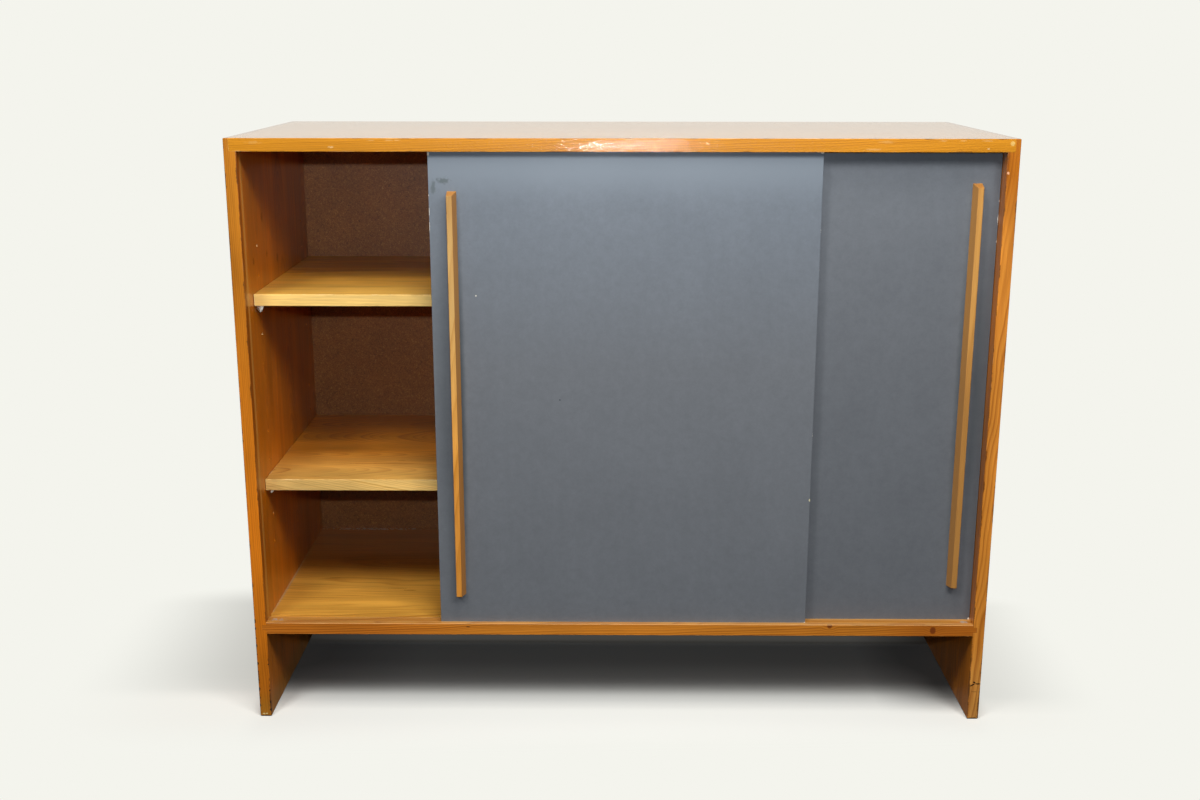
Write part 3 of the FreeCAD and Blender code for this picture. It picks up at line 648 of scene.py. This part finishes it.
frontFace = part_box("front_door")[0].y
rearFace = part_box("rear_door")[0].y
filler = rolledPaint["fillerHex"]
chip = {"hex": filler, "ragged": 1.0}
edgeRub = {"hex": filler, "ragged": 1.6}
scuff = {"hex": "4E5654", "soft": 0.8}
frontDoorMarks = [
    # a pale painted highlight over the door's upper part, and a dark painted shadow of the top board along
    # its top
    {"at": (0.0, frontFace, 0.9150), "size": (endless, 3.0, 70.0), "hex": "777F87", "soft": 1.0,
     "ragged": 0.1},
    {"at": (0.0, frontFace, 0.9285), "size": (endless, 3.0, 6.5), "hex": "47525E", "strength": 0.5,
     "soft": 0.8, "ragged": 0.1},
    {**chip, "at": (-0.2930, frontFace, 0.9300), "size": (2.6, 4.0, 3.6)},
    {**chip, "at": (0.3045, frontFace, 0.9325), "size": (3.2, 4.0, 2.0)},
    {**chip, "at": (0.3060, frontFace, 0.1680), "size": (2.6, 4.0, 2.0)},
    {**chip, "at": (-0.2935, frontFace, 0.8677), "size": (1.0, 4.0, 1.6)},
    {**edgeRub, "at": (-0.2935, frontFace, 0.8440), "size": (1.1, 4.0, 7.0)},
    {**edgeRub, "at": (-0.2935, frontFace, 0.8200), "size": (1.0, 4.0, 10.0)},
    {"at": (-0.2243, frontFace, 0.7126), "size": (1.3, 3.0, 1.3), "hex": filler},
    {"at": (-0.0952, frontFace, 0.5461), "size": (1.3, 3.0, 1.3), "hex": "34383C"},
    {"at": (0.3060, frontFace, 0.3804), "size": (1.5, 3.0, 3.0), "hex": "DCD2A6", "ragged": 1.0},
    {**scuff, "at": (-0.2700, frontFace, 0.8900), "size": (12.0, 3.0, 6.0), "strength": 0.7, "ragged": 2.0},
    {**scuff, "at": (-0.2860, frontFace, 0.8800), "size": (5.0, 3.0, 14.0), "strength": 0.6, "ragged": 1.6},
]
rearDoorMarks = [
    {**chip, "at": (0.5803, rearFace, 0.9325), "size": (2.2, 4.0, 2.2)},
    {**chip, "at": (0.5795, rearFace, 0.1690), "size": (2.8, 4.0, 3.0)},
    {**chip, "at": (0.5803, rearFace, 0.8585), "size": (1.1, 4.0, 2.4)},
    {**edgeRub, "at": (0.5803, rearFace, 0.8300), "size": (1.0, 4.0, 9.0)},
    {**chip, "at": (0.5803, rearFace, 0.7962), "size": (1.1, 4.0, 2.0)},
]
# the rear door's paint is darker than the front's, a painted shade
shadedRearPaint = dict(rolledPaint, hex="696D72", shadedLowHex="66696D", handleShadow=(0.6, 0.5))
paintDoor("rolled_paint_front", "front_door", "front_door_handle", rolledPaint, frontDoorMarks)
paintDoor("rolled_paint_rear_shaded", "rear_door", "rear_door_handle", shadedRearPaint, rearDoorMarks)
print("doors painted")

# hardboard, wood fibre pressed flat: brown felt of short fibres, with the mark of the wire screen on its
# outer face; real wires are finer, and drawn this coarse so that they show
pressedFibre = {
    "hex": "A0642C", "darkHex": "68401A", "paleHex": "C89A5C", "fibreSize": 3.4, "tangle": 1.5,
    "felt": {"From Min": 0.36, "From Max": 0.6}, "pale": {"From Min": 0.58, "From Max": 0.72, "To Max": 0.7},
    "cloudSize": 70.0, "cloudDepth": 0.12, "fade": {"From Min": 0.3, "From Max": 0.8}, "heightShadeDepth": 0.13,
    "screen": 2.4, "screenHeight": 0.5, "outward": 0.5, "bump": 0.35, "bumpHeight": 0.4,
    "roughness": 0.4, "ior": 1.55,
}


def finishHardboard(name, node, look):
    material, add, place = startMaterial(name)
    felt = add("TexNoise", {"Vector": place, "Scale": 1 / (look["fibreSize"] * mm), "Detail": 5.0,
                            "Roughness": 0.7, "Distortion": look["tangle"]})
    feltMask = add("MapRange", {"Value": felt, **look["felt"]})
    colour = add("MixRGB", {"Fac": feltMask, "Color1": linear(look["darkHex"]),
                            "Color2": linear(look["hex"])})
    paleMask = add("MapRange", {"Value": felt, **look["pale"]})
    colour = add("MixRGB", {"Fac": paleMask, "Color1": colour, "Color2": linear(look["paleHex"])})
    cloud = add("TexNoise", {"Vector": place, "Scale": 1 / (look["cloudSize"] * mm), "Detail": 4.0})
    cloudTone = add("MapRange", {"Value": cloud, **toneSpan(look["cloudDepth"])})
    # painted light and shade: the panel is lighter higher up and darker low down
    height = add("SeparateXYZ", {0: place}).node.outputs["Z"]
    paintedHeightShade = add("MapRange", {"Value": height, **look["fade"], "To Min": 1 - look["heightShadeDepth"],
                                  "To Max": 1 + look["heightShadeDepth"]})
    for tone in (cloudTone, paintedHeightShade):
        colour = add("HueSaturation", {"Value": tone, "Color": colour})

    spacing = math.tau / (look["screen"] * mm)
    turns = add("VectorMath", {0: place, 1: (spacing,) * 3}, operation="MULTIPLY")
    wires = add("SeparateXYZ", {0: add("VectorMath", {0: turns}, operation="SINE")}).node.outputs
    weave = add("Math", {0: wires["X"], 1: wires["Z"]}, operation="MULTIPLY")
    outward = add("SeparateXYZ", {0: add("NewGeometry").node.outputs["Normal"]}).node.outputs["Y"]
    outside = add("Math", {0: outward, 1: look["outward"]}, operation="GREATER_THAN")
    screen = add("Math", {0: weave, 1: outside}, operation="MULTIPLY")
    relief = add("Math", {0: screen, 1: look["screenHeight"], 2: felt}, operation="MULTIPLY_ADD")
    bump = add("Bump", {"Height": relief, "Strength": look["bump"], "Distance": look["bumpHeight"] * mm})
    shader = add("BsdfPrincipled", {"Base Color": colour, "Roughness": look["roughness"],
                                    "IOR": look["ior"], "Normal": bump})
    add("OutputMaterial", {"Surface": shader})
    paint(material, node)


finishHardboard("pressed_hardboard", "back_panel", pressedFibre)
print("back panel finished")

# pressed sheet steel: dull nickel on the shelf supports, pale and hardly mirroring, and bare drawn wire on
# tacks and screws, which mirrors; both have small tarnish stains
plainMetals = {
    "nickel_plated_steel": {"hex": "FBFBF7", "stainHex": "DDD9CE", "roughness": (0.26, 0.38), "grain": 2.0,
                            "metal": 0.1, "on": [name for name in nodes if name.endswith("_supports")]},
    "drawn_steel_wire": {"hex": "B9B5AC", "stainHex": "7C7164", "roughness": (0.3, 0.5), "grain": 0.8,
                         "metal": 1.0,
                         "on": ["back_panel_tacks", "front_handle_screws", "rear_handle_screws"]},
}
for name, look in plainMetals.items():
    material, add, place = startMaterial(name)
    tarnish = add("TexNoise", {"Vector": place, "Scale": 1 / (look["grain"] * mm), "Detail": 4.0})
    stained = add("MapRange", {"Value": tarnish, "From Min": 0.45, "From Max": 0.75})
    colour = add("MixRGB", {"Fac": stained, "Color1": linear(look["hex"]),
                            "Color2": linear(look["stainHex"])})
    smooth, rough = look["roughness"]
    roughness = add("MapRange", {"Value": tarnish, **noiseSpan, "To Min": smooth, "To Max": rough})
    shader = add("BsdfPrincipled", {"Base Color": colour, "Metallic": look["metal"], "Roughness": roughness})
    add("OutputMaterial", {"Surface": shader})
    paint(material, *look["on"])
print("metal finished")

# bare beech, turned to dowels: pale with short dark flecks
turnedBeech = {"hex": "D9B98C", "fleckHex": "A97B4C", "fleck": (0.6, 0.6, 2.5), "roughness": 0.6}
material, add, place = startMaterial("turned_beech")
drawn = add("Mapping", {"Vector": place, "Scale": scaleFor(turnedBeech["fleck"])})
flecks = add("TexNoise", {"Vector": drawn, "Scale": 1.0, "Detail": 2.0})
fleckMask = add("MapRange", {"Value": flecks, "From Min": 0.58, "From Max": 0.7})
colour = add("MixRGB", {"Fac": fleckMask, "Color1": linear(turnedBeech["hex"]),
                        "Color2": linear(turnedBeech["fleckHex"])})
shader = add("BsdfPrincipled", {"Base Color": colour, "Roughness": turnedBeech["roughness"]})
add("OutputMaterial", {"Surface": shader})
paint(material, "top_joint_dowels")
print("dowels finished")

# pale floor that runs out into the background; light that it throws back up is kept low, as in a large dim
# room, and it is painted darker under the cabinet, most of all beside the legs, as a painted shadow, with a
# painted glow of light from behind at its far side; start and full are metres behind the front
stage = {
    "hex": "F4F4ED", "litHex": "F3F3ED", "bounceHex": "6E6E6A", "size": 14.0,
    "sideFade": {"To Min": 0.58, "To Max": 0.75}, "fadeTo": {"To Min": 0.38, "To Max": 0.25},
    "sideEdge": (-0.02, 0.03), "frontFade": 3.0, "farGlow": 0.057, "farGlowFrom": (0.052, 0.088),
    "shades": ({"keep": 0.54, "start": 0.055, "full": 0.12}, {"keep": 0.61, "start": 0.14, "full": 0.23}),
    "legShades": ({"from": -0.36, "to": -0.575, "keep": 0.5, "start": 0.085, "full": 0.15},
                  {"from": 0.44, "to": 0.575, "keep": 0.3, "start": 0.02, "full": 0.085}),
    "darkest": 0.2, "ambient": 0.02, "behindCamera": 0.05, "mirrored": 0.9, "horizon": (-0.1, 0.3),
}
bpy.ops.object.select_all(action="DESELECT")
bpy.ops.mesh.primitive_plane_add(size=stage["size"])
floor = bpy.context.object
floor.name = "floor"
material, add, place = startMaterial("pale_floor")
low, high = (Vector(corner) for corner in cadBox)
axes = add("SeparateXYZ", {0: place}).node.outputs
reach = add("VectorMath", {0: place}, operation="ABSOLUTE")
sideways = add("SeparateXYZ", {0: reach}).node.outputs["X"]

# the lit floor turns into plain background away from the cabinet, sooner on the right
beyond = add("VectorMath", {0: reach, 1: high}, operation="SUBTRACT")
outside = add("VectorMath", {0: beyond, 1: (0.0, 0.0, 0.0)}, operation="MAXIMUM")
nearer = add("VectorMath", {0: outside, 1: (1.0, stage["frontFade"], 1.0)}, operation="MULTIPLY")
distance = add("VectorMath", {0: nearer}, operation="LENGTH").node.outputs["Value"]
leftRight = {"Value": axes["X"], "From Min": low.x, "From Max": high.x}
most = add("MapRange", {**leftRight, **stage["sideFade"]})
fadeTo = add("MapRange", {**leftRight, **stage["fadeTo"]})
edgeIn, edgeOut = (high.x + step for step in stage["sideEdge"])
least = add("MapRange", {"Value": sideways, "From Min": edgeIn, "From Max": edgeOut, "To Max": most},
            interpolation_type="SMOOTHSTEP")
fade = add("MapRange", {"Value": distance, "From Min": 0.0, "From Max": fadeTo, "To Min": least},
           interpolation_type="SMOOTHSTEP")

# painted shadow under the cabinet and beside the legs, and a painted glow of light at its far side
paintedShade = 1.0
glowing = stage["farGlow"]
for shade in stage["shades"]:
    darker = add("MapRange", {"Value": axes["Y"], "From Min": low.y + shade["start"],
                              "From Max": low.y + shade["full"], "To Min": 1.0, "To Max": shade["keep"]},
                 interpolation_type="SMOOTHSTEP")
    paintedShade = add("Math", {0: paintedShade, 1: darker}, operation="MULTIPLY")
for leg in stage["legShades"]:
    beside = add("MapRange", {"Value": axes["X"], "From Min": leg["from"], "From Max": leg["to"],
                              "To Min": 1.0, "To Max": leg["keep"]})
    darker = add("MapRange", {"Value": axes["Y"], "From Min": low.y + leg["start"],
                              "From Max": low.y + leg["full"], "To Min": 1.0, "To Max": beside})
    paintedShade = add("Math", {0: paintedShade, 1: darker}, operation="MULTIPLY")
    glowing = add("Math", {0: glowing, 1: beside}, operation="MULTIPLY")
paintedShade = add("Math", {0: paintedShade, 1: stage["darkest"]}, operation="MAXIMUM")
glowStart, glowFull = stage["farGlowFrom"]
farGlow = add("MapRange", {"Value": axes["Y"], "From Min": glowStart, "From Max": glowFull,
                           "To Max": glowing}, interpolation_type="SMOOTHSTEP")
fade = add("Math", {0: fade, 1: farGlow}, operation="MAXIMUM")

seen = add("LightPath").node.outputs["Is Camera Ray"]
pale = add("HueSaturation", {"Value": paintedShade, "Color": linear(stage["litHex"])})
lit = add("MixRGB", {"Fac": seen, "Color1": linear(stage["bounceHex"]), "Color2": pale})
matt = add("BsdfDiffuse", {"Color": lit})
glow = add("Emission", {"Color": linear(stage["hex"]), "Strength": seen})
add("OutputMaterial", {"Surface": add("MixShader", {0: fade, 1: matt, 2: glow})})
floor.data.materials.append(material)

# the room is white behind the cabinet and dim behind the camera
world = bpy.data.worlds.new("pale_room")
bpy.context.scene.world = world
world.use_nodes = True
world.node_tree.nodes.clear()
add = functools.partial(addNode, world.node_tree)
path = add("LightPath").node.outputs
towards = add("SeparateXYZ", {0: add("TexCoord").node.outputs["Generated"]}).node.outputs["Y"]
dimTo, whiteFrom = stage["horizon"]
backdrop = add("MapRange", {"Value": towards, "From Min": dimTo, "From Max": whiteFrom,
                            "To Min": stage["behindCamera"], "To Max": stage["mirrored"]},
               interpolation_type="SMOOTHSTEP")
glossy = add("Math", {0: path["Is Glossy Ray"], 1: path["Is Transmission Ray"]}, operation="MAXIMUM")
mirrored = add("Math", {0: glossy, 1: backdrop}, operation="MULTIPLY")
shown = add("Math", {0: mirrored, 1: path["Is Camera Ray"]}, operation="MAXIMUM")
ambient = add("Math", {0: path["Is Diffuse Ray"], 1: stage["ambient"]}, operation="MULTIPLY")
strength = add("Math", {0: shown, 1: ambient}, operation="MAXIMUM")
add("OutputWorld", {"Surface": add("Background", {"Color": linear(stage["hex"]), "Strength": strength})})

# three soft lamps in front of the doors and one over them; a small lamp above the camera is mirrored in all
# but the top, which has one like it and a lower one that only glints; one more brightens the shelf supports;
# the rear lamps show the back and a side each, and leave the floor, so that the cabinet's shadow stays
white = (1.0, 1.0, 1.0)
cool = (0.92, 1.0, 1.1)
both = ("diffuse", "glossy")
lamps = {
    "left_lamp": {"at": (-1.2, -1.8, 2.4), "size": 0.6, "watts": 28.0, "tint": white},
    "middle_lamp": {"at": (0.25, -1.8, 2.4), "size": 0.6, "watts": 19.6, "tint": white},
    "right_lamp": {"at": (1.15, -1.75, 2.05), "size": 0.6, "watts": 23.0, "tint": white},
    "ceiling_lamp": {"at": (0.0, -0.85, 2.3), "size": 0.5, "watts": 14.5, "tint": (1.0, 0.975, 0.94)},
    "camera_lamp": {"at": (-0.03, -2.33, 1.2), "size": 0.03, "watts": 12.9, "tint": cool,
                    "lights": "all but top", "kinds": both},
    "top_lamp": {"at": (0.015, -2.33, 1.2), "size": 0.03, "watts": 12.9, "tint": cool, "lights": "top"},
    "glint_lamp": {"at": (0.028, -2.33, 0.80), "size": 0.03, "watts": 6.9, "tint": (0.95, 0.98, 1.08),
                   "lights": "top", "kinds": ("glossy",)},
    "support_lamp": {"at": (-0.05, -2.3, 0.75), "size": 0.03, "watts": 16.0, "tint": (1.0, 0.97, 0.88),
                     "lights": "supports", "kinds": both},
    "left_rear_lamp": {"at": (-2.2, 1.1, 0.8), "size": 0.3, "watts": 35.0, "tint": white,
                       "lights": "left and back"},
    "right_rear_lamp": {"at": (2.2, 1.1, 0.8), "size": 0.3, "watts": 35.0, "tint": white,
                        "lights": "right and back"},
}
# the list for all but top is what its lamp leaves out
litPieces = {
    "top": ["top_panel"], "all but top": ["top_panel"], "supports": plainMetals["nickel_plated_steel"]["on"],
    "left and back": [name for name in nodes if name != "right_side_panel"],
    "right and back": [name for name in nodes if name != "left_side_panel"],
}
litGroups = {}
for group, names in litPieces.items():
    litGroups[group] = bpy.data.collections.new("lit " + group)
    for name in names:
        litGroups[group].objects.link(nodes[name])
for held in litGroups["all but top"].collection_objects:
    held.light_linking.link_state = "EXCLUDE"
aim = Vector((0.0, -0.1, 0.6))
for name, lamp in lamps.items():
    bpy.ops.object.light_add(type="AREA", location=lamp["at"])
    light = bpy.context.object
    light.name = name
    light.rotation_euler = (aim - light.location).to_track_quat("-Z", "Y").to_euler()
    light.data.size = lamp["size"]
    light.data.energy = lamp["watts"]
    light.data.color = lamp["tint"]
    kinds = lamp.get("kinds", ("diffuse",))          # most leave no hot spots on the lacquer
    light.visible_diffuse = "diffuse" in kinds
    light.visible_glossy = "glossy" in kinds
    if "lights" in lamp:
        light.light_linking.receiver_collection = litGroups[lamp["lights"]]

# camera at the photograph's place, worked out from the edges of the boards; angles are in degrees
view = {"at": (-0.01695, -2.33325, 1.09034), "down": 14.45, "left": 0.41, "roll": -0.04, "lens": 41.38,
        "sensor": 36.0}
bpy.ops.object.camera_add(location=view["at"])
camera = bpy.context.object
turns = (90 - view["down"], view["roll"], view["left"])
camera.rotation_euler = [math.radians(turn) for turn in turns]
camera.data.lens = view["lens"]
camera.data.sensor_width = view["sensor"]
bpy.context.scene.camera = camera
bpy.context.scene.view_settings.view_transform = "Standard"
print("stage, lamps and camera set")
